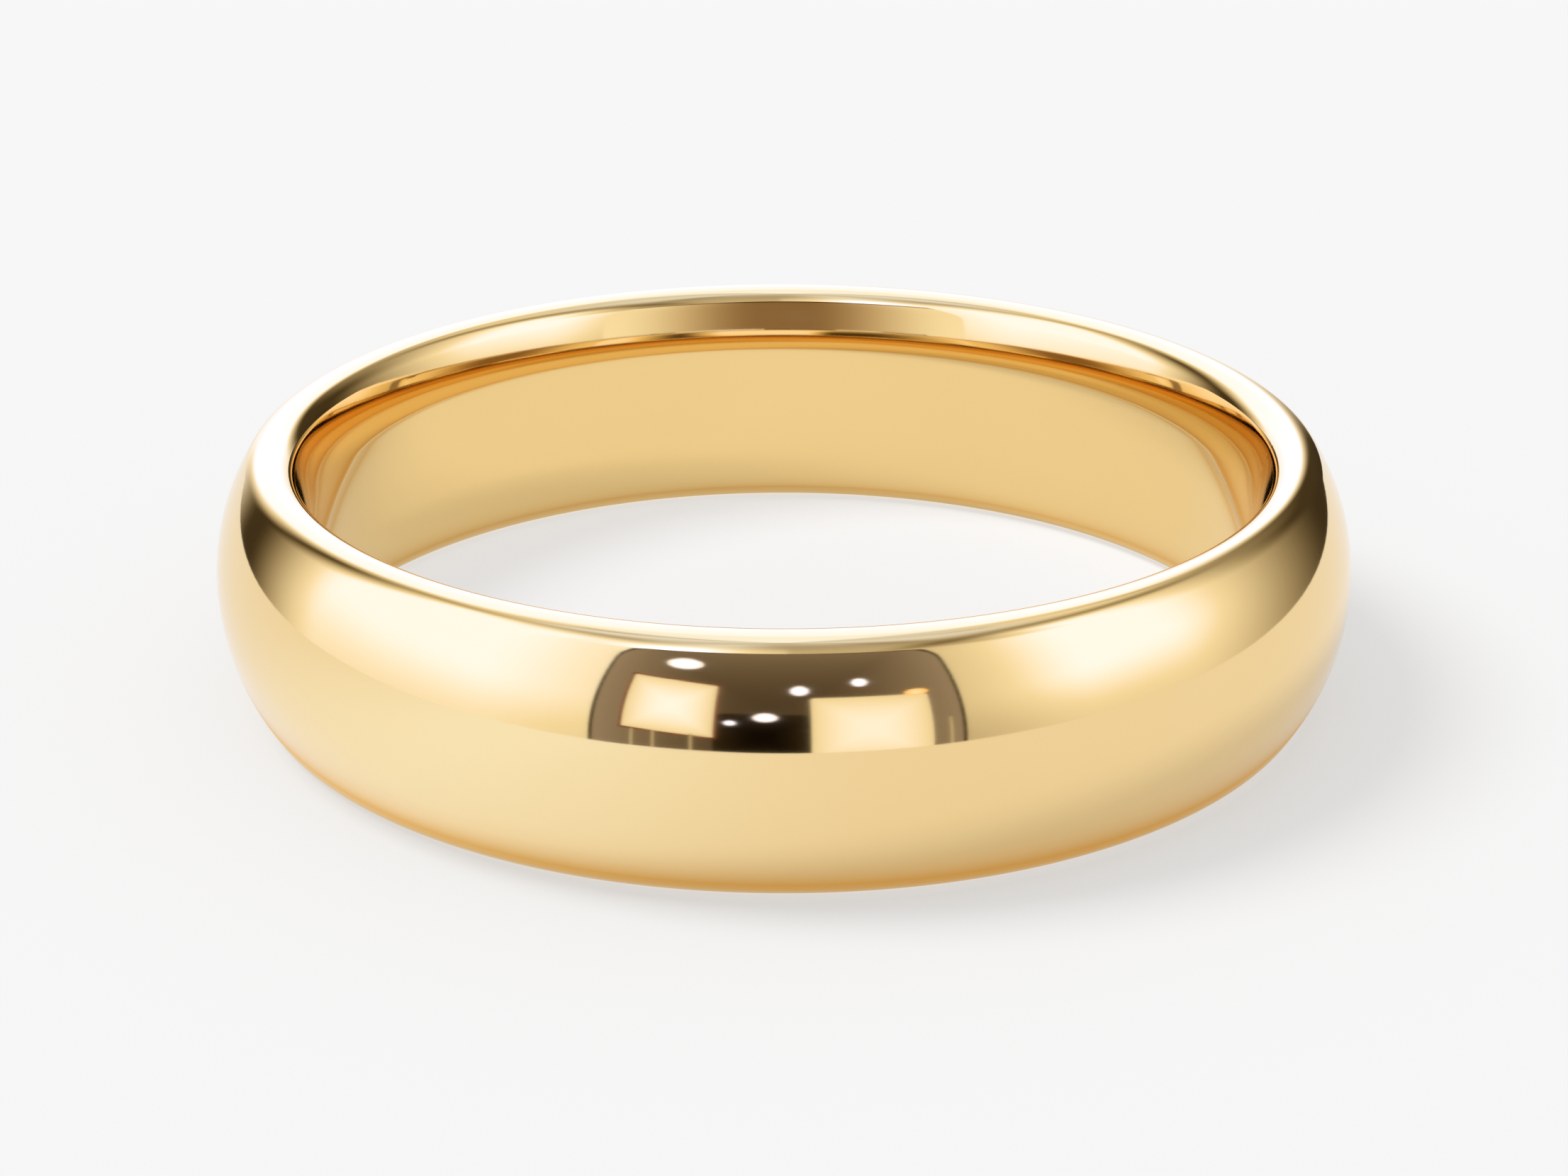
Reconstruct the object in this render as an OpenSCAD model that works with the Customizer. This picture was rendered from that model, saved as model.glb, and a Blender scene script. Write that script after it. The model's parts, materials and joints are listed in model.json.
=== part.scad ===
// Plain court wedding band: a domed outside, a comfort-fit inside and softly rounded rims.
//
// It is made as a goldsmith makes one. A strip of court section is bent round until its ends
// meet, and the hairline between the ends is filled with solder of the same colour.
// The band lies on one rim: +Z is its axis, and the origin is under its centre, on the surface
// that it rests on.

/* [Finger size] */
// Inside diameter, measured across the straight land in the middle of the bore
inside_diameter = 19.1; // [14:0.1:24]

/* [Section] */
// Width of the band along the finger
band_width = 5; // [4:0.1:5.4]
// Thickness of the wall at the crown of the dome
wall = 1.85; // [1.7:0.05:2.4]
// Radius of the dome across the outside
dome_radius = 4.1; // [3.6:0.1:7]
// Radius of the rounded rim, on the outside
rim_radius = 0.55; // [0.3:0.05:0.7]
// Width of the flat that the band rests on, at the top of each rim
rim_flat = 0.05; // [0.02:0.01:0.2]
// Radius of the lip between the flat and the comfort curve
lip_radius = 0.5; // [0.2:0.05:0.55]
// Width of the straight land in the middle of the bore
land_width = 1.9; // [0.8:0.1:2.6]

/* [Solder joint] */
// Thickness of the solder between the two ends of the strip
solder_gap = 0.05; // [0.03:0.01:0.2]
// Where the joint lies, in degrees round the band from +X
joint_angle = 0; // [0:5:355]

/* [Hidden] */

$fn = 180;
gold = "#e3b95c";
solder_gold = "#dfb55a";

bore_radius = inside_diameter / 2;
crown_radius = bore_radius + wall;
half_width = band_width / 2;
half_land = land_width / 2;

function on_arc(centre, radius, angle) = centre + radius * [cos(angle), sin(angle)];

// The centre of an arc that carries on from another at a given angle, without a corner
function next_centre(centre, radius, angle, next_radius) =
    on_arc(centre, radius - next_radius, angle);

// The upper half of the section is a chain of arcs, from the crown of the dome over the rim to
// the flat, and on over the lip and the comfort curve to the land. A point is [distance from the
// axis, height above the middle], and an angle is counted from straight outwards. The dome ends
// where the rim can still finish at the full width.
dome_end = asin((half_width - rim_radius) / (dome_radius - rim_radius));
dome_centre = [crown_radius - dome_radius, 0];
rim_centre = next_centre(dome_centre, dome_radius, dome_end, rim_radius);
lip_centre = [rim_centre.x - rim_flat, half_width - lip_radius];

// The comfort curve starts level with the land and runs into the lip, which sets its radius
comfort_rise = lip_centre.y - half_land;
comfort_depth = lip_centre.x - bore_radius;
comfort_radius = (pow(comfort_depth, 2) + pow(comfort_rise, 2) - pow(lip_radius, 2))
    / (2 * (comfort_depth - lip_radius));
comfort_centre = [bore_radius + comfort_radius, half_land];
comfort_start = atan2(comfort_rise, lip_centre.x - comfort_centre.x);

// Angle that the solder takes up round the band, measured at the crown
solder_angle = 360 * solder_gap / (2 * PI * crown_radius);

// The sliver of a circle that stands outside the chord between two of its points
module arc_sliver(centre, radius, from, to) {
    reach = 2 * radius / cos((to - from) / 2);
    intersection() {
        translate(centre)
            circle(r = radius);
        polygon([
            on_arc(centre, radius, from),
            on_arc(centre, reach, (from + to) / 2),
            on_arc(centre, radius, to)
        ]);
    }
}

module half_section() {
    polygon([
        [bore_radius, 0],
        [crown_radius, 0],
        on_arc(dome_centre, dome_radius, dome_end),
        [rim_centre.x, half_width],
        [lip_centre.x, half_width],
        on_arc(lip_centre, lip_radius, comfort_start),
        [bore_radius, half_land]
    ]);
    arc_sliver(dome_centre, dome_radius, 0, dome_end);
    arc_sliver(rim_centre, rim_radius, dome_end, 90);
    arc_sliver(lip_centre, lip_radius, 90, comfort_start);
    arc_sliver(comfort_centre, comfort_radius, comfort_start, 180);
}

module court_section() {
    translate([0, half_width]) {
        half_section();
        mirror([0, 1])
            half_section();
    }
}

// Sweeps the section round the axis through a given angle, starting at a given one
module sweep(start, angle) {
    rotate([0, 0, start])
        rotate_extrude(angle = angle)
            court_section();
}

module band() {
    color(gold)
        sweep(joint_angle + solder_angle / 2, 360 - solder_angle);
}

module solder_seam() {
    color(solder_gold)
        sweep(joint_angle - solder_angle / 2, solder_angle);
}

band();
solder_seam();
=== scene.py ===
import json
from math import asin, atan2, cos, exp, hypot, pi, radians, sin, tan, tau

import bpy
from mathutils import Euler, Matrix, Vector


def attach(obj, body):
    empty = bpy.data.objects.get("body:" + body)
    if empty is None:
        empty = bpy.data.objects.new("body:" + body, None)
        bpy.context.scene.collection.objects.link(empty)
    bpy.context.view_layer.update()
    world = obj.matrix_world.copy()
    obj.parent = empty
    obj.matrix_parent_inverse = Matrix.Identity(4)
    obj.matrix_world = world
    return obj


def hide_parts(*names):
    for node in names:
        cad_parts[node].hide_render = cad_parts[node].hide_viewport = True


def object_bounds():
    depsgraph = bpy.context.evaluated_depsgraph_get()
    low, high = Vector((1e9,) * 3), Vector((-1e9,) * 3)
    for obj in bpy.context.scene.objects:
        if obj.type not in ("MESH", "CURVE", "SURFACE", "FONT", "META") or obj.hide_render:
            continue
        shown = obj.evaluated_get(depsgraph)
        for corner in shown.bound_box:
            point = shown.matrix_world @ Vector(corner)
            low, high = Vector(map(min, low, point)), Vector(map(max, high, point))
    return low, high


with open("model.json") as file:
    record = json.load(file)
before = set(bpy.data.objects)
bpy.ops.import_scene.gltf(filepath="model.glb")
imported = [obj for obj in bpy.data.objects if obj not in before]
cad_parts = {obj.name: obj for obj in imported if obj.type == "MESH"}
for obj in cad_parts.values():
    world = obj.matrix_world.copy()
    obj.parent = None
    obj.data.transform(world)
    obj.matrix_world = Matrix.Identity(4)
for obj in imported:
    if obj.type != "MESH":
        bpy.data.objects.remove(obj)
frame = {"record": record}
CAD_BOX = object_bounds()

bl_info = {
    "name": "Court wedding band",
    "version": (1, 0, 0),
    "blender": (4, 5, 0),
    "location": "View3D > Sidebar > Ring",
    "description": "A polished court wedding band, its solder joint and a light tent to see it in",
    "category": "Add Mesh",
}

MM = 0.001
BAND_WIDTH = CAD_BOX[1].z - CAD_BOX[0].z
# The nearest side of the box, so that the crown stays inside it all round
CROWN_RADIUS = min(CAD_BOX[1].x, CAD_BOX[1].y, -CAD_BOX[0].x, -CAD_BOX[0].y)
BORE_RADIUS = frame["record"]["mounts"][0]["dims"]["r_mm"] * MM
# Sides of the circles that the floor is drawn with
FLOOR_SIDES = 96
# How far out the studio's layers hang, as shares of the tent's radius
HEM, DIM, DARK, FRAME, BOX, STAND, LAMP = 0.99, 0.98, 0.97, 0.965, 0.96, 0.955, 0.93
# The elevation that the cards reach down to, hidden behind the floor
BELOW_FLOOR = -9
WHITE = (1.0, 1.0, 1.0)


# ---------------------------------------------------------------- sizes and finishes

class CourtSection(bpy.types.PropertyGroup):
    """The section of the strip that the band is bent from."""

    bore_radius: bpy.props.FloatProperty(
        name="Bore radius", description="Inside radius at the land, half the finger size",
        default=BORE_RADIUS, unit="LENGTH")
    crown_radius: bpy.props.FloatProperty(
        name="Crown radius", description="Outside radius at the crown of the dome",
        default=CROWN_RADIUS, unit="LENGTH")
    width: bpy.props.FloatProperty(
        name="Width", description="Width of the band along the finger",
        default=BAND_WIDTH, unit="LENGTH")
    dome_radius: bpy.props.FloatProperty(
        name="Dome", description="Radius of the dome across the outside",
        default=4.1 * MM, unit="LENGTH")
    rim_radius: bpy.props.FloatProperty(
        name="Rim", description="Radius of the rounded rim, on the outside",
        default=0.55 * MM, unit="LENGTH")
    rim_flat: bpy.props.FloatProperty(
        name="Rim flat", description="Width of the flat that the band rests on",
        default=0.05 * MM, unit="LENGTH")
    lip_radius: bpy.props.FloatProperty(
        name="Lip", description="Radius of the lip between the flat and the comfort curve",
        default=0.5 * MM, unit="LENGTH")
    land_width: bpy.props.FloatProperty(
        name="Land", description="Width of the straight land in the middle of the bore",
        default=1.9 * MM, unit="LENGTH")
    steps_round: bpy.props.IntProperty(
        name="Steps round", description="Faces round the whole band", default=360, min=24)


class SolderJoint(bpy.types.PropertyGroup):
    """The joint that closes the strip into a ring."""

    gap: bpy.props.FloatProperty(
        name="Gap", description="Thickness of the solder, at the crown",
        default=0.05 * MM, unit="LENGTH")
    angle: bpy.props.FloatProperty(
        name="Angle", description="Where the joint lies round the band, from +X",
        default=0.0, subtype="ANGLE")
    steps: bpy.props.IntProperty(
        name="Steps", description="Faces across the solder", default=2, min=1)


class GoldPolish(bpy.types.PropertyGroup):
    """Colours and polish of the gold and of its solder."""

    gold: bpy.props.FloatVectorProperty(
        name="Gold", description="18 ct yellow gold", subtype="COLOR",
        default=(0.93, 0.695, 0.338))
    gold_deep: bpy.props.FloatVectorProperty(
        name="Gold, deeper", description="Slightly redder patches of the same gold",
        subtype="COLOR", default=(0.918, 0.672, 0.312))
    solder: bpy.props.FloatVectorProperty(
        name="Solder", description="Hard solder matched to the gold", subtype="COLOR",
        default=(0.922, 0.688, 0.336))
    polish: bpy.props.FloatProperty(
        name="Polish", description="Roughness of the mirror polish", default=0.035, min=0, max=1)
    hairlines: bpy.props.FloatProperty(
        name="Hairlines", description="Extra roughness in the finest buffing lines",
        default=0.02, min=0, max=1)
    line_depth: bpy.props.FloatProperty(
        name="Line depth", description="Depth of the buffing lines",
        default=0.00008 * MM, unit="LENGTH", precision=6)


class Studio(bpy.types.PropertyGroup):
    """Camera, floor, key light and light tent."""

    camera_elevation: bpy.props.FloatProperty(
        name="Elevation", description="Height of the camera above the horizon",
        default=radians(21.9), subtype="ANGLE")
    camera_distance: bpy.props.FloatProperty(
        name="Distance", description="Camera to the middle of the resting face",
        default=72.39 * MM, unit="LENGTH")
    camera_rise: bpy.props.FloatProperty(
        name="Rise", description="How far the camera aims above the resting face",
        default=1.572 * MM, unit="LENGTH")
    lens: bpy.props.FloatProperty(
        name="Lens", description="Focal length on a 36 mm sensor, in millimetres", default=80.75)
    backdrop: bpy.props.FloatProperty(
        name="Backdrop", description="Brightness of the pale surroundings and of the floor",
        default=0.93, min=0, max=1)
    floor_white: bpy.props.FloatProperty(
        name="Floor white", description="Share of the light that the acrylic floor sends back",
        default=0.26, min=0, max=1)
    key_share: bpy.props.FloatProperty(
        name="Key share", description="How much of the floor's brightness the key light gives",
        default=0.17, min=0, max=1)
    key_height: bpy.props.FloatProperty(
        name="Key height", description="Height of the key light above the horizon",
        default=radians(56), subtype="ANGLE")
    key_softness: bpy.props.FloatProperty(
        name="Key softness", description="How wide the key light looks from the ring",
        default=radians(28), subtype="ANGLE")
    floor_reach: bpy.props.FloatProperty(
        name="Floor reach", description="How far the floor shows in the gold",
        default=44 * MM, unit="LENGTH")
    tent_radius: bpy.props.FloatProperty(
        name="Tent radius", description="Radius of the light tent",
        default=400 * MM, unit="LENGTH")


# ---------------------------------------------------------------- the court section

def on_arc(centre, radius, angle):
    return (centre[0] + radius * cos(angle), centre[1] + radius * sin(angle))


def corner(centre, radius, start, end):
    """Where the tangents at the two ends of an arc meet: the corner that the arc rounds off."""
    half_turn = (end - start) / 2
    return on_arc(centre, radius / cos(half_turn), (start + end) / 2)


def court_corners(size):
    """The corners of the upper half of the section, from the crown round to the comfort curve.

    Each is (name, distance from the axis, height above the middle, radius, steps). Angles are
    counted from straight outwards, and each arc carries on from the one before it.
    """
    half_width = size.width / 2
    half_land = size.land_width / 2
    dome_end = asin((half_width - size.rim_radius) / (size.dome_radius - size.rim_radius))
    dome = (size.crown_radius - size.dome_radius, 0.0)
    rim = on_arc(dome, size.dome_radius - size.rim_radius, dome_end)
    lip = (rim[0] - size.rim_flat, half_width - size.lip_radius)
    rise = lip[1] - half_land
    depth = lip[0] - size.bore_radius
    if depth <= size.lip_radius:
        raise ValueError("the wall is too thin for this dome and lip")
    comfort_radius = (depth ** 2 + rise ** 2 - size.lip_radius ** 2) / (2 * (depth - size.lip_radius))
    comfort = (size.bore_radius + comfort_radius, half_land)
    comfort_start = atan2(rise, lip[0] - comfort[0])
    upright = pi / 2
    arcs = [
        ("Dome", dome, size.dome_radius, -dome_end, dome_end, 48),
        ("Rim", rim, size.rim_radius, dome_end, upright, 24),
        ("Lip", lip, size.lip_radius, upright, comfort_start, 24),
        ("Comfort", comfort, comfort_radius, comfort_start, pi, 24),
    ]
    return [
        (name, *corner(centre, radius, start, end), radius, steps)
        for name, centre, radius, start, end, steps in arcs
    ]


# ---------------------------------------------------------------- node helpers

def add_node(tree, kind, **settings):
    node = tree.nodes.new(kind)
    for key, value in settings.items():
        setattr(node, key, value)
    return node


def feed(tree, source, node, name):
    """Links an output, or sets a plain value, on a node's named input."""
    if hasattr(source, "is_output"):
        tree.links.new(source, node.inputs[name])
    else:
        node.inputs[name].default_value = source


def calculate(tree, operation, *values):
    node = add_node(tree, "ShaderNodeMath", operation=operation)
    for place, value in enumerate(values):
        feed(tree, value, node, place)
    return node.outputs[0]


# ---------------------------------------------------------------- the sweep, as Geometry Nodes

def pick_by_index(tree, kind, sources):
    """A field that gives each point of the outline the source in its place."""
    index = add_node(tree, "GeometryNodeInputIndex")
    switch = add_node(tree, "GeometryNodeIndexSwitch", data_type=kind)
    while len(switch.index_switch_items) < len(sources):
        switch.index_switch_items.new()
    feed(tree, index.outputs[0], switch, "Index")
    for place, source in enumerate(sources, start=1):
        feed(tree, source, switch, place)
    return switch.outputs[0]


def mirrored(tree, vector):
    """The same corner below the middle of the section."""
    flip = add_node(tree, "ShaderNodeVectorMath", operation="MULTIPLY")
    feed(tree, vector, flip, 0)
    feed(tree, (1.0, -1.0, 1.0), flip, 1)
    return flip.outputs[0]


def section_sweep_tree(corners):
    """A closed court section, rounded at its corners and swept round the finger's axis."""
    tree = bpy.data.node_groups.new("Court section sweep", "GeometryNodeTree")

    def new_input(name, kind, **settings):
        socket = tree.interface.new_socket(name=name, in_out="INPUT", socket_type=kind)
        for key, value in settings.items():
            setattr(socket, key, value)

    for name, distance, height, radius, steps in corners:
        new_input(name + " corner", "NodeSocketVector", default_value=(distance, height, 0.0))
        new_input(name + " radius", "NodeSocketFloat", default_value=radius, subtype="DISTANCE")
        new_input(name + " steps", "NodeSocketInt", default_value=steps)
    new_input("Centreline radius", "NodeSocketFloat", subtype="DISTANCE")
    new_input("Middle height", "NodeSocketFloat", subtype="DISTANCE")
    new_input("Start", "NodeSocketFloat", subtype="ANGLE")
    new_input("Turn", "NodeSocketFloat", subtype="ANGLE")
    new_input("Steps round", "NodeSocketInt", default_value=360)
    new_input("Material", "NodeSocketMaterial")
    tree.interface.new_socket(name="Geometry", in_out="OUTPUT", socket_type="NodeSocketGeometry")

    given = add_node(tree, "NodeGroupInput").outputs
    # Round the outline: the crown, up over the upper edge and in to the bore, then back below it
    upper = [name for name, *_ in corners]
    lower = list(reversed(upper[1:]))
    places = [given[name + " corner"] for name in upper]
    places += [mirrored(tree, given[name + " corner"]) for name in lower]
    radii = [given[name + " radius"] for name in upper + lower]
    steps = [given[name + " steps"] for name in upper + lower]

    points = add_node(tree, "GeometryNodePoints")
    feed(tree, len(places), points, "Count")
    feed(tree, pick_by_index(tree, "VECTOR", places), points, "Position")
    outline = add_node(tree, "GeometryNodePointsToCurves")
    feed(tree, points.outputs[0], outline, 0)
    closed = add_node(tree, "GeometryNodeSetSplineCyclic")
    feed(tree, outline.outputs[0], closed, 0)
    feed(tree, True, closed, "Cyclic")
    rounded = add_node(tree, "GeometryNodeFilletCurve", mode="POLY")
    feed(tree, closed.outputs[0], rounded, "Curve")
    feed(tree, pick_by_index(tree, "FLOAT", radii), rounded, "Radius")
    feed(tree, pick_by_index(tree, "INT", steps), rounded, "Count")

    # The section's own zero moves onto the circle that carries it
    inwards = add_node(tree, "ShaderNodeCombineXYZ")
    feed(tree, calculate(tree, "MULTIPLY", given["Centreline radius"], -1.0), inwards, "X")
    section = add_node(tree, "GeometryNodeTransform")
    feed(tree, rounded.outputs[0], section, "Geometry")
    feed(tree, inwards.outputs[0], section, "Translation")

    centreline = add_node(tree, "GeometryNodeCurveArc")
    feed(tree, calculate(tree, "ADD", given["Steps round"], 1), centreline, "Resolution")
    feed(tree, given["Centreline radius"], centreline, "Radius")
    feed(tree, given["Start"], centreline, "Start Angle")
    feed(tree, given["Turn"], centreline, "Sweep Angle")
    swept = add_node(tree, "GeometryNodeCurveToMesh")
    feed(tree, centreline.outputs[0], swept, "Curve")
    feed(tree, section.outputs[0], swept, "Profile Curve")
    feed(tree, True, swept, "Fill Caps")

    # Neighbouring arcs end on the same point, so the doubles between them are merged
    merged = add_node(tree, "GeometryNodeMergeByDistance")
    feed(tree, swept.outputs[0], merged, 0)
    feed(tree, 0.0001 * MM, merged, "Distance")
    upwards = add_node(tree, "ShaderNodeCombineXYZ")
    feed(tree, given["Middle height"], upwards, "Z")
    lifted = add_node(tree, "GeometryNodeTransform")
    feed(tree, merged.outputs[0], lifted, "Geometry")
    feed(tree, upwards.outputs[0], lifted, "Translation")
    real = add_node(tree, "GeometryNodeRealizeInstances")
    feed(tree, lifted.outputs[0], real, "Geometry")
    finished = add_node(tree, "GeometryNodeSetMaterial")
    feed(tree, real.outputs[0], finished, "Geometry")
    feed(tree, given["Material"], finished, "Material")
    result = add_node(tree, "NodeGroupOutput")
    feed(tree, finished.outputs[0], result, "Geometry")
    return tree


def swept_piece(name, size, start, turn, steps_round, material):
    """A length of the court section as a plain mesh object."""
    corners = court_corners(size)
    tree = section_sweep_tree(corners)
    piece = bpy.data.objects.new(name, bpy.data.meshes.new(name))
    bpy.context.scene.collection.objects.link(piece)
    sweep = piece.modifiers.new("Sweep", "NODES")
    sweep.node_group = tree
    values = {
        "Centreline radius": (size.bore_radius + size.crown_radius) / 2,
        "Middle height": CAD_BOX[0].z + size.width / 2,
        "Start": start,
        "Turn": turn,
        "Steps round": steps_round,
        "Material": material,
    }
    for item in tree.interface.items_tree:
        if item.item_type == "SOCKET" and item.in_out == "INPUT" and item.name in values:
            sweep[item.identifier] = values[item.name]
    depsgraph = bpy.context.evaluated_depsgraph_get()
    blank = piece.data
    finished = piece.evaluated_get(depsgraph)
    piece.data = bpy.data.meshes.new_from_object(finished, depsgraph=depsgraph)
    piece.modifiers.remove(sweep)
    piece.data.name = name
    bpy.data.meshes.remove(blank)
    if not piece.data.polygons:
        raise RuntimeError(f"the sweep made no faces for {name}")
    return piece


# ---------------------------------------------------------------- materials

# How many patches, lines and specks there are to a metre
PATCHES_PER_METRE = 260.0
LINES_PER_METRE = 26000.0
HAZE_PER_METRE = 900.0
# Buffing lines are some eighty times longer round the band than they are wide
SQUEEZE_ROUND_BAND = 0.012


def buffing_coordinates(tree):
    """Object coordinates bent round the finger: distance out, distance round and height.

    The place where the turn starts again lies at the solder joint.
    """
    place = add_node(tree, "ShaderNodeTexCoord").outputs["Object"]
    axes = add_node(tree, "ShaderNodeSeparateXYZ")
    feed(tree, place, axes, 0)
    x, y, z = axes.outputs
    x_squared = calculate(tree, "POWER", x, 2.0)
    y_squared = calculate(tree, "POWER", y, 2.0)
    across = calculate(tree, "SQRT", calculate(tree, "ADD", x_squared, y_squared))
    opposite_x = calculate(tree, "MULTIPLY", x, -1.0)
    opposite_y = calculate(tree, "MULTIPLY", y, -1.0)
    turn = calculate(tree, "ARCTAN2", opposite_y, opposite_x)
    bent = add_node(tree, "ShaderNodeCombineXYZ")
    feed(tree, across, bent, "X")
    feed(tree, calculate(tree, "MULTIPLY", turn, CROWN_RADIUS), bent, "Y")
    feed(tree, z, bent, "Z")
    return place, bent.outputs[0]


def noise(tree, coordinates, scale, detail):
    node = add_node(tree, "ShaderNodeTexNoise")
    feed(tree, coordinates, node, "Vector")
    feed(tree, scale, node, "Scale")
    feed(tree, detail, node, "Detail")
    return node.outputs["Fac"]


def polished_metal(name, colour, deeper, polish):
    """Mirror-polished metal with faint buffing lines round the band and a little colour drift."""
    material = bpy.data.materials.new(name)
    material.use_nodes = True
    tree = material.node_tree
    shader = tree.nodes["Principled BSDF"]
    shader.inputs["Metallic"].default_value = 1.0
    place, bent = buffing_coordinates(tree)

    drift = add_node(tree, "ShaderNodeMix", data_type="RGBA")
    feed(tree, noise(tree, place, PATCHES_PER_METRE, 3.0), drift, "Factor")
    feed(tree, (*colour, 1.0), drift, 6)
    feed(tree, (*deeper, 1.0), drift, 7)
    feed(tree, drift.outputs[2], shader, "Base Color")

    stretched = add_node(tree, "ShaderNodeMapping", vector_type="POINT")
    feed(tree, bent, stretched, "Vector")
    feed(tree, (1.0, SQUEEZE_ROUND_BAND, 1.0), stretched, "Scale")
    lines = noise(tree, stretched.outputs[0], LINES_PER_METRE, 4.0)
    haze = noise(tree, place, HAZE_PER_METRE, 5.0)
    rough = calculate(tree, "MULTIPLY_ADD", lines, polish.hairlines, polish.polish)
    rough = calculate(tree, "MULTIPLY_ADD", haze, polish.hairlines, rough)
    feed(tree, rough, shader, "Roughness")
    bump = add_node(tree, "ShaderNodeBump")
    feed(tree, lines, bump, "Height")
    feed(tree, polish.line_depth, bump, "Distance")
    feed(tree, 1.0, bump, "Strength")
    feed(tree, bump.outputs[0], shader, "Normal")
    return material


def painted_glow(name):
    """Cloth or lamp that only shines, as bright as its Glow attribute says from place to place."""
    material = bpy.data.materials.new(name)
    material.use_nodes = True
    tree = material.node_tree
    tree.nodes.clear()
    painted = add_node(tree, "ShaderNodeAttribute", attribute_name="Glow")
    glow = add_node(tree, "ShaderNodeEmission")
    feed(tree, painted.outputs["Color"], glow, "Color")
    surface = add_node(tree, "ShaderNodeOutputMaterial")
    feed(tree, glow.outputs[0], surface, "Surface")
    return material


# ---------------------------------------------------------------- the studio

def stage_mesh(name, vertices, faces, material):
    mesh = bpy.data.meshes.new(name)
    mesh.from_pydata(vertices, [], faces)
    mesh.materials.append(material)
    item = bpy.data.objects.new(name, mesh)
    bpy.context.scene.collection.objects.link(item)
    return item


def seen_in_gold_only(item):
    """Leaves an item for the gold to reflect. It lights nothing and the camera looks through it."""
    item.visible_camera = False
    item.visible_diffuse = False
    item.visible_shadow = False
    item.visible_transmission = False
    item.visible_volume_scatter = False


def on_tent(azimuth, elevation, radius):
    """A point round the band. Azimuth is counted from the camera's side towards +X, in degrees."""
    a, e = radians(azimuth), radians(elevation)
    return Vector((sin(a) * cos(e), -cos(a) * cos(e), sin(e))) * radius


def step_up(value, low, high):
    """0 below low, 1 above high, and a smooth rise between."""
    t = min(max((value - low) / (high - low), 0.0), 1.0)
    return t * t * (3 - 2 * t)


def daylight(brightness, cool=0.0):
    """The light's colour: cool above white and warm in the shade. The roof's cloth is cooler.

    Green and blue are powers of the brightness, so that the colour changes smoothly with it.
    """
    if brightness > 1:
        wall = (brightness, brightness ** 1.7, brightness ** 4.5)
    else:
        wall = (brightness, brightness ** 1.1, brightness ** 1.3)
    roof = (brightness, 1.19 * brightness ** 1.25, 1.8 * brightness ** 1.7)
    return tuple(w + (r - w) * cool for w, r in zip(wall, roof))


def paint(item, colours):
    """Gives each point of a stage mesh the colour that it shines with."""
    glow = item.data.color_attributes.new("Glow", "FLOAT_COLOR", "POINT")
    for point, colour in zip(glow.data, colours):
        point.color = (*colour, 1.0)


def fold(azimuth, elevation, near, far, middle, height, droop, width):
    """How far a place lies in a fold of the cloth that arches over one side of the tent. The fold
    runs from near to far, is highest at its middle, and droops towards its ends."""
    crest = height - droop * ((azimuth - middle) / 50) ** 2
    ends = step_up(azimuth, near, near + 30) * (1 - step_up(azimuth, far - 30, far))
    return ends * exp(-((elevation - crest) / width) ** 2)


def tent_brightness(azimuth, elevation):
    """How bright the tent's cloth is. The walls are lit through from both sides and the roof is
    dimmer towards the mouth. The two corners behind the ring are in shade."""
    side = abs(azimuth)
    on_right = azimuth > 0
    dimmer_by_mouth = 0.35 if on_right else 0.14
    dimmer_by_floor = 0.25 if on_right else 0.14
    walls = 1.22
    walls *= 1 - dimmer_by_mouth * (1 - step_up(side, 28, 62))
    walls *= 1 - dimmer_by_floor * (1 - step_up(elevation, -8, 18))
    roof = 0.84 - 0.22 * cos(radians(azimuth))
    high = step_up(elevation, 52, 72)
    bright = walls * (1 - high) + roof * high

    over_mouth = step_up(elevation, 38, 48) * (1 - step_up(elevation, 72, 88))
    bright *= 1 + 0.3 * over_mouth * (1 - step_up(side, 25, 50))
    right_of_mouth = step_up(azimuth, -28, 5) * (1 - step_up(azimuth, 45, 75))
    bright *= 1 - 0.42 * over_mouth * right_of_mouth

    # Each corner is a dark strip from its near edge to its far one, and it fades upwards
    right_far = 150 + 7 * (1 - step_up(elevation, 25, 42))
    right_corner = step_up(azimuth, 80, 140) * (1 - step_up(azimuth, right_far, right_far + 12))
    right_corner *= 1 - 0.75 * step_up(elevation, 20, 62)
    left_far = 127 + 8 * (1 - step_up(elevation, 3, 22))
    left_corner = step_up(-azimuth, 100, 131) * (1 - step_up(-azimuth, left_far, left_far + 23))
    left_corner *= 1 - 0.7 * step_up(elevation, 35, 60)
    bright *= 1 - 0.95 * (right_corner + left_corner)

    # Painted shade along two folds of the cloth, which darken its glow
    bright *= 1 - 0.6 * fold(azimuth, elevation, 15, 155, 80, 63, 13, 6)
    bright *= 1 - 0.35 * fold(-azimuth, elevation, 35, 150, 70, 68, 11, 5)
    return bright


def build_tent(studio):
    """A dome of cloth round the band, from a little below the floor's far edge."""
    step = 2
    azimuths = range(-180, 180, step)
    elevations = list(range(-12, 90, step))
    spots = [(a, e) for e in elevations for a in azimuths] + [(0, 90)]
    vertices = [on_tent(a, e, studio.tent_radius) for a, e in spots]
    count = len(azimuths)
    around = [(i, (i + 1) % count) for i in range(count)]
    faces = []
    for row in range(len(elevations) - 1):
        low, high = row * count, (row + 1) * count
        faces += [(low + a, low + b, high + b, high + a) for a, b in around]
    top = len(spots) - 1
    faces += [(top - count + a, top - count + b, top) for a, b in around]
    tent = stage_mesh("light_tent", vertices, faces, painted_glow("Tent cloth"))
    paint(tent, [daylight(tent_brightness(a, e), step_up(e, 58, 72)) for a, e in spots])
    seen_in_gold_only(tent)


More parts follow.
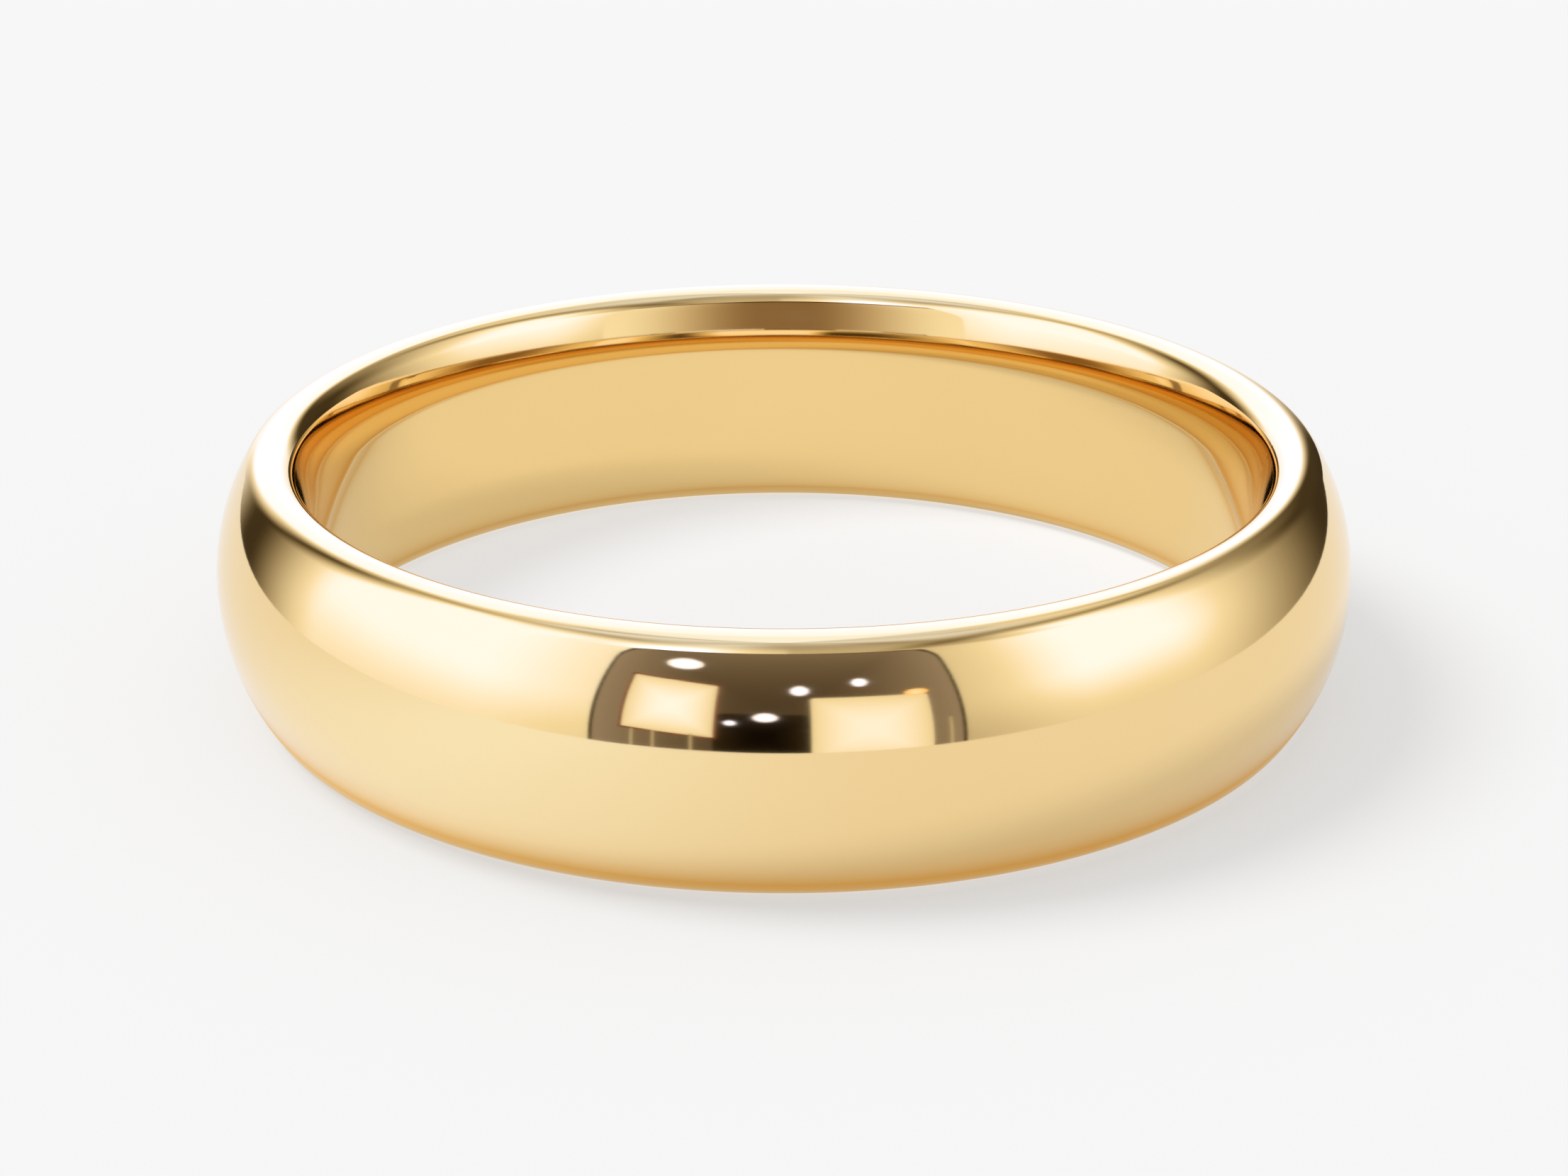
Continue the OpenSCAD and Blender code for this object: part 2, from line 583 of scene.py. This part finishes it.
def tent_patch(name, outline, layer, middle_glow, edge_glow, tint=WHITE, sideways=False):
    """A patch that follows the curve of the tent, inside it, from its middle out to an outline.

    Places are (azimuth, elevation) in degrees. Its glow changes from the middle to the edge, or
    only towards the two sides.
    """
    studio = bpy.context.scene.wedding_studio
    rings = 12
    count = len(outline)
    middle = [sum(spot[axis] for spot in outline) / count for axis in (0, 1)]
    spots = [(*middle, 0.0)]
    for ring in range(1, rings + 1):
        share = ring / rings
        for spot in outline:
            spots.append((*(m + (o - m) * share for m, o in zip(middle, spot)), share))
    vertices = [on_tent(a, e, studio.tent_radius * layer) for a, e, _ in spots]
    around = [(i, (i + 1) % count) for i in range(count)]
    faces = [(0, 1 + a, 1 + b) for a, b in around]
    for ring in range(rings - 1):
        inner, outer = 1 + ring * count, 1 + (ring + 1) * count
        faces += [(inner + a, outer + a, outer + b, inner + b) for a, b in around]
    patch = stage_mesh(name, vertices, faces, painted_glow(name))
    colours = []
    reach = max(abs(spot[0] - middle[0]) for spot in outline)
    for azimuth, _, share in spots:
        if sideways:
            share = abs(azimuth - middle[0]) / reach
        light = daylight(middle_glow + (edge_glow - middle_glow) * share ** 2)
        colours.append([part * dye for part, dye in zip(light, tint)])
    paint(patch, colours)
    seen_in_gold_only(patch)


def card(name, sides, layer, middle_glow, edge_glow, round_corner=0.5, lean=0.0, **dye):
    """A card between two azimuths and two elevations, with its upper corners rounded. A lean
    lowers its right side by that many degrees."""
    left, right, bottom, top = sides
    outline = [(left + (right - left) * share / 16, bottom) for share in range(17)]
    side_steps = [bottom + (top - round_corner - bottom) * share / 8 for share in range(1, 8)]
    outline += [(right, elevation) for elevation in side_steps]
    for centre_azimuth, start in ((right - round_corner, 0), (left + round_corner, 90)):
        for turn in range(0, 91, 10):
            angle = radians(start + turn)
            azimuth = centre_azimuth + round_corner * cos(angle)
            outline.append((azimuth, top - round_corner + round_corner * sin(angle)))
    outline += [(left, elevation) for elevation in reversed(side_steps)]
    width = right - left
    outline = [(a, e - lean * (a - left) / width) for a, e in outline]
    tent_patch(name, outline, layer, middle_glow, edge_glow, **dye)


def lamp(name, azimuth, elevation, width, height, tint=WHITE):
    angles = [tau * i / 24 for i in range(24)]
    outline = [(azimuth + width * cos(a), elevation + height * sin(a)) for a in angles]
    tent_patch(name, outline, LAMP, 1.5, 1.1, tint)


def build_mouth():
    """The mouth of the tent that the camera looks in through, and the dim studio beyond it."""
    card("tent_hem", (-36.2, 33.8, BELOW_FLOOR, 44.4), HEM, 0.05, 0.05, 9)
    card(
        "dim_studio", (-35.4, 33, BELOW_FLOOR, 43), DIM, 0.085, 0.33, 8,
        tint=(1.0, 1.0, 1.3), sideways=True)
    card("dark_corner", (-13, 5, BELOW_FLOOR, 14), DARK, 0.004, 0.03, 2)
    card(
        "softbox_frame", (-30.6, -12.4, 3.2, 29.6), FRAME, 0.2, 0.2,
        lean=2, tint=(1.0, 0.3, 0.2))
    card("softbox_left", (-30, -13, 4, 29), BOX, 1.2, 0.97, lean=2)
    for place in (-28, -24, -17):
        card(f"stand_{-place}", (place - 0.3, place + 0.3, BELOW_FLOOR, 3.2), STAND, 0.6, 0.5)
    card("softbox_right", (5, 27.5, BELOW_FLOOR, 22), BOX, 1.16, 0.97, 1, lean=1.6)
    card("stand_right", (30.5, 31.2, BELOW_FLOOR, 8), STAND, 0.6, 0.5)
    lamp("lamp_upper_left", -21, 36.5, 4, 2.6)
    lamp("lamp_middle", 3, 25.5, 1.9, 2.4)
    lamp("lamp_right", 15, 28.5, 1.7, 2)
    lamp("lamp_low", -3.5, 12.5, 2.4, 2.2)
    lamp("lamp_small", -10, 9.5, 1.2, 1.3)
    lamp("lamp_flare", 25.5, 21.5, 2.4, 1.6, tint=(1.0, 0.6, 0.2))


def acrylic(studio):
    """White acrylic, lit from below as well as from above, so that shadows on it stay light. Its
    Glow attribute tints both lights."""
    material = bpy.data.materials.new("White acrylic")
    material.use_nodes = True
    tree = material.node_tree
    shader = tree.nodes["Principled BSDF"]
    shader.inputs["Roughness"].default_value = 1.0
    shader.inputs["Specular IOR Level"].default_value = 0.0
    shader.inputs["Emission Strength"].default_value = (
        studio.backdrop * (1 - studio.floor_white) - studio.key_share)
    tint = add_node(tree, "ShaderNodeAttribute", attribute_name="Glow")
    white = add_node(tree, "ShaderNodeVectorMath", operation="SCALE")
    feed(tree, tint.outputs["Color"], white, "Vector")
    white.inputs["Scale"].default_value = studio.floor_white
    feed(tree, white.outputs["Vector"], shader, "Base Color")
    feed(tree, tint.outputs["Color"], shader, "Emission Color")
    return material


def circle_points(radius, level):
    angles = [tau * i / FLOOR_SIDES for i in range(FLOOR_SIDES)]
    return [(radius * sin(a), -radius * cos(a), level) for a in angles]


def joined_circles(rows):
    """Faces between circles of points that follow each other in a list."""
    around = [(i, (i + 1) % FLOOR_SIDES) for i in range(FLOOR_SIDES)]
    faces = []
    for row in range(rows - 1):
        inner, outer = row * FLOOR_SIDES, (row + 1) * FLOOR_SIDES
        faces += [(inner + a, outer + a, outer + b, inner + b) for a, b in around]
    return faces


def shade_and_bounce_by_foot(tint, distance, fade, losses):
    """Painted contact shade, warmed by painted light thrown back from the gold: the tint loses a
    share of each colour by the band's foot, less and less further out.
    """
    near = exp(-abs(distance) / fade)
    return [part * (1 - loss * near) for part, loss in zip(tint, losses)]


def outside_painted_light(point, foot):
    """What the gold sees in the floor outside: painted key light that makes it brighter and cooler at
    the front left, and painted shade by the foot.
    """
    radius = hypot(point[0], point[1])
    # Painted key light, strongest towards the front left
    left = max(0.0, (-0.7 * point[0] - 0.71 * point[1]) / radius) ** 5
    tint = (1 + 0.1 * left, 1 + 0.2 * left, 1.03 + 0.42 * left)
    return shade_and_bounce_by_foot(tint, radius - foot, 0.32 * MM, (0.1, 0.36, 0.7))


def inside_painted_light(point, foot):
    """What the gold sees in the floor inside: painted warm light thrown back from the wall, and
    painted shade by the foot.
    """
    distance = hypot(point[0], point[1]) - foot
    return shade_and_bounce_by_foot((1.02, 0.99, 0.91), distance, 0.18 * MM, (0.15, 0.3, 0.5))


def build_floor(studio, material):
    """The pale floor for the camera. It is brighter inside the band, where the polished wall
    throws light back on it."""
    hole = BORE_RADIUS + 0.7 * MM
    steps = 12
    radii = [hole * i / steps for i in range(steps + 1)]
    lit_by_wall = [1 + 0.15 * (i / steps) ** 3 for i in range(steps + 1)]
    radii += [hole + 0.5 * MM, studio.tent_radius * 6]
    lit_by_wall += [1, 1]
    level = CAD_BOX[0].z
    points = [point for radius in radii for point in circle_points(radius, level)]
    floor = stage_mesh("floor", points, joined_circles(len(radii)), material)
    paint(floor, [(bright,) * 3 for bright in lit_by_wall for _ in range(FLOOR_SIDES)])
    floor.visible_glossy = False


def build_floor_in_gold(studio, material):
    """A painted copy of the floor, just above it, that only the gold sees. It carries painted light
    from the key and the wall and painted shade by the band's foot.
    """
    level = CAD_BOX[0].z + 0.02 * MM
    outer_foot = CROWN_RADIUS - 0.6 * MM
    inner_foot = BORE_RADIUS + 0.05 * MM
    steps = 24
    reach = studio.floor_reach - outer_foot
    outside = [outer_foot - 0.35 * MM]
    outside += [outer_foot + reach * (i / steps) ** 3 for i in range(steps + 1)]
    inside = [inner_foot + 0.4 * MM]
    inside += [inner_foot * (1 - (i / steps) ** 2) for i in range(steps + 1)]
    sides = (
        ("outside", outside, outer_foot, outside_painted_light),
        ("inside", inside, inner_foot, inside_painted_light),
    )
    for name, radii, foot, tint in sides:
        points = [point for radius in radii for point in circle_points(radius, level)]
        seen = stage_mesh(f"floor_seen_{name}", points, joined_circles(len(radii)), material)
        # Each copy gets its painted light and painted shade, point by point
        paint(seen, [tint(point, foot) for point in points])
        seen_in_gold_only(seen)


def show_front_only(tree):
    """Makes a glowing material clear from behind."""
    glow = next(node for node in tree.nodes if node.bl_idname == "ShaderNodeEmission")
    surface = next(node for node in tree.nodes if node.bl_idname == "ShaderNodeOutputMaterial")
    geometry = add_node(tree, "ShaderNodeNewGeometry")
    clear = add_node(tree, "ShaderNodeBsdfTransparent")
    one_sided = add_node(tree, "ShaderNodeMixShader")
    feed(tree, geometry.outputs["Backfacing"], one_sided, 0)
    feed(tree, glow.outputs[0], one_sided, 1)
    feed(tree, clear.outputs[0], one_sided, 2)
    feed(tree, one_sided.outputs[0], surface, "Surface")


def build_flag():
    """A curved brown card that stands over the front of the ring. It keeps the soft boxes out of
    the far rim. Only the gold sees it, and only from the side that faces the far rim."""
    material = painted_glow("Brown card")
    show_front_only(material.node_tree)
    radius = BORE_RADIUS + 0.35 * MM
    mouth_top = radians(43)
    bottom = CAD_BOX[1].z + 0.1 * MM
    top = bottom + 2 * radius * tan(mouth_top)
    turns = range(-66, 67, 3)
    points = []
    colours = []
    # Its glow is a painted reflection for the far rim: brown, dim in the middle and lighter towards
    # the sides, to near its top, where it darkens quickly
    for height, strength in ((bottom, 1.0), (top * 0.86, 0.95), (top, 0.15)):
        for turn in turns:
            angle = radians(turn)
            points.append((radius * sin(angle), -radius * cos(angle), height))
            brown = (0.27 + 0.77 * step_up(abs(turn), 8, 64)) * strength
            colours.append((brown, brown ** 1.3, brown ** 1.7))
    count = len(turns)
    faces = []
    for low in (0, count):
        high = low + count
        faces += [(low + i, high + i, high + i + 1, low + i + 1) for i in range(count - 1)]
    flag = stage_mesh("brown_card", points, faces, material)
    paint(flag, colours)
    seen_in_gold_only(flag)


def build_lights(studio):
    """An even pale world, and one soft key light from the upper left that gives the shadow."""
    world = bpy.data.worlds.new("Studio")
    bpy.context.scene.world = world
    world.use_nodes = True
    pale = (studio.backdrop, studio.backdrop, studio.backdrop, 1.0)
    world.node_tree.nodes["Background"].inputs["Color"].default_value = pale
    sun = bpy.data.lights.new("key", "SUN")
    sun.angle = studio.key_softness
    # A white floor under a light of strength pi from straight above is as bright as 1
    sun.energy = pi * studio.key_share / (studio.floor_white * sin(studio.key_height))
    key = bpy.data.objects.new("key", sun)
    level = cos(studio.key_height)
    slightly_behind = 0.12
    towards_light = Vector((-level, slightly_behind * level, sin(studio.key_height)))
    key.rotation_euler = towards_light.to_track_quat("Z", "Y").to_euler()
    key.visible_glossy = False
    bpy.context.scene.collection.objects.link(key)


def build_camera(studio):
    tilt = studio.camera_elevation
    back = Vector((0, -cos(tilt), sin(tilt)))
    up = Vector((0, sin(tilt), cos(tilt)))
    lens = bpy.data.cameras.new("camera")
    lens.lens = studio.lens
    lens.clip_start = 1 * MM
    lens.clip_end = 10000 * MM
    camera = bpy.data.objects.new("camera", lens)
    camera.location = back * studio.camera_distance + up * studio.camera_rise
    camera.rotation_euler = Euler((pi / 2 - tilt, 0, 0))
    bpy.context.scene.collection.objects.link(camera)
    bpy.context.scene.camera = camera


# ---------------------------------------------------------------- operators

class RING_OT_studio(bpy.types.Operator):
    """Set up the camera, the floor, the light and the tent that the gold reflects"""

    bl_idname = "ring.studio"
    bl_label = "Set up the studio"

    def execute(self, context):
        studio = context.scene.wedding_studio
        context.scene.view_settings.view_transform = "Standard"
        build_camera(studio)
        build_lights(studio)
        white_acrylic = acrylic(studio)
        build_floor(studio, white_acrylic)
        build_floor_in_gold(studio, white_acrylic)
        build_tent(studio)
        build_mouth()
        build_flag()
        return {"FINISHED"}


class RING_OT_band(bpy.types.Operator):
    """Bend the court strip round into the band"""

    bl_idname = "ring.band"
    bl_label = "Make the band"

    def execute(self, context):
        scene = context.scene
        size, joint, polish = scene.court_section, scene.solder_joint, scene.gold_polish
        solder_angle = joint.gap / size.crown_radius
        gold = polished_metal("Polished gold", polish.gold, polish.gold_deep, polish)
        band = swept_piece(
            "band_polished", size, joint.angle + solder_angle / 2, tau - solder_angle,
            size.steps_round, gold)
        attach(band, "root")
        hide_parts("band")
        return {"FINISHED"}


class RING_OT_solder(bpy.types.Operator):
    """Fill the gap between the ends of the strip with solder"""

    bl_idname = "ring.solder"
    bl_label = "Solder the joint"

    def execute(self, context):
        scene = context.scene
        size, joint, polish = scene.court_section, scene.solder_joint, scene.gold_polish
        solder_angle = joint.gap / size.crown_radius
        solder = polished_metal("Polished solder", polish.solder, polish.gold, polish)
        seam = swept_piece(
            "solder_seam_polished", size, joint.angle - solder_angle / 2, solder_angle,
            joint.steps, solder)
        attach(seam, "root")
        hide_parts("solder_seam")
        return {"FINISHED"}


class RING_PT_workshop(bpy.types.Panel):
    """The workshop panel in the sidebar"""

    bl_idname = "RING_PT_workshop"
    bl_label = "Court wedding band"
    bl_space_type = "VIEW_3D"
    bl_region_type = "UI"
    bl_category = "Ring"

    def draw(self, context):
        layout = self.layout
        for group, _ in SETTINGS:
            settings = getattr(context.scene, group)
            box = layout.box()
            for name in settings.bl_rna.properties.keys():
                if name not in {"rna_type", "name"}:
                    box.prop(settings, name)
        for operator in OPERATORS:
            layout.operator(operator.bl_idname)


SETTINGS = [
    ("court_section", CourtSection),
    ("solder_joint", SolderJoint),
    ("gold_polish", GoldPolish),
    ("wedding_studio", Studio),
]
OPERATORS = [RING_OT_studio, RING_OT_band, RING_OT_solder]
CLASSES = [kind for _, kind in SETTINGS] + OPERATORS + [RING_PT_workshop]


def register():
    for kind in CLASSES:
        bpy.utils.register_class(kind)
    for group, kind in SETTINGS:
        setattr(bpy.types.Scene, group, bpy.props.PointerProperty(type=kind))


def unregister():
    for group, _ in SETTINGS:
        delattr(bpy.types.Scene, group)
    for kind in reversed(CLASSES):
        bpy.utils.unregister_class(kind)


def main():
    register()
    bpy.ops.ring.studio()
    bpy.ops.ring.band()
    bpy.ops.ring.solder()


if __name__ == "__main__":
    main()
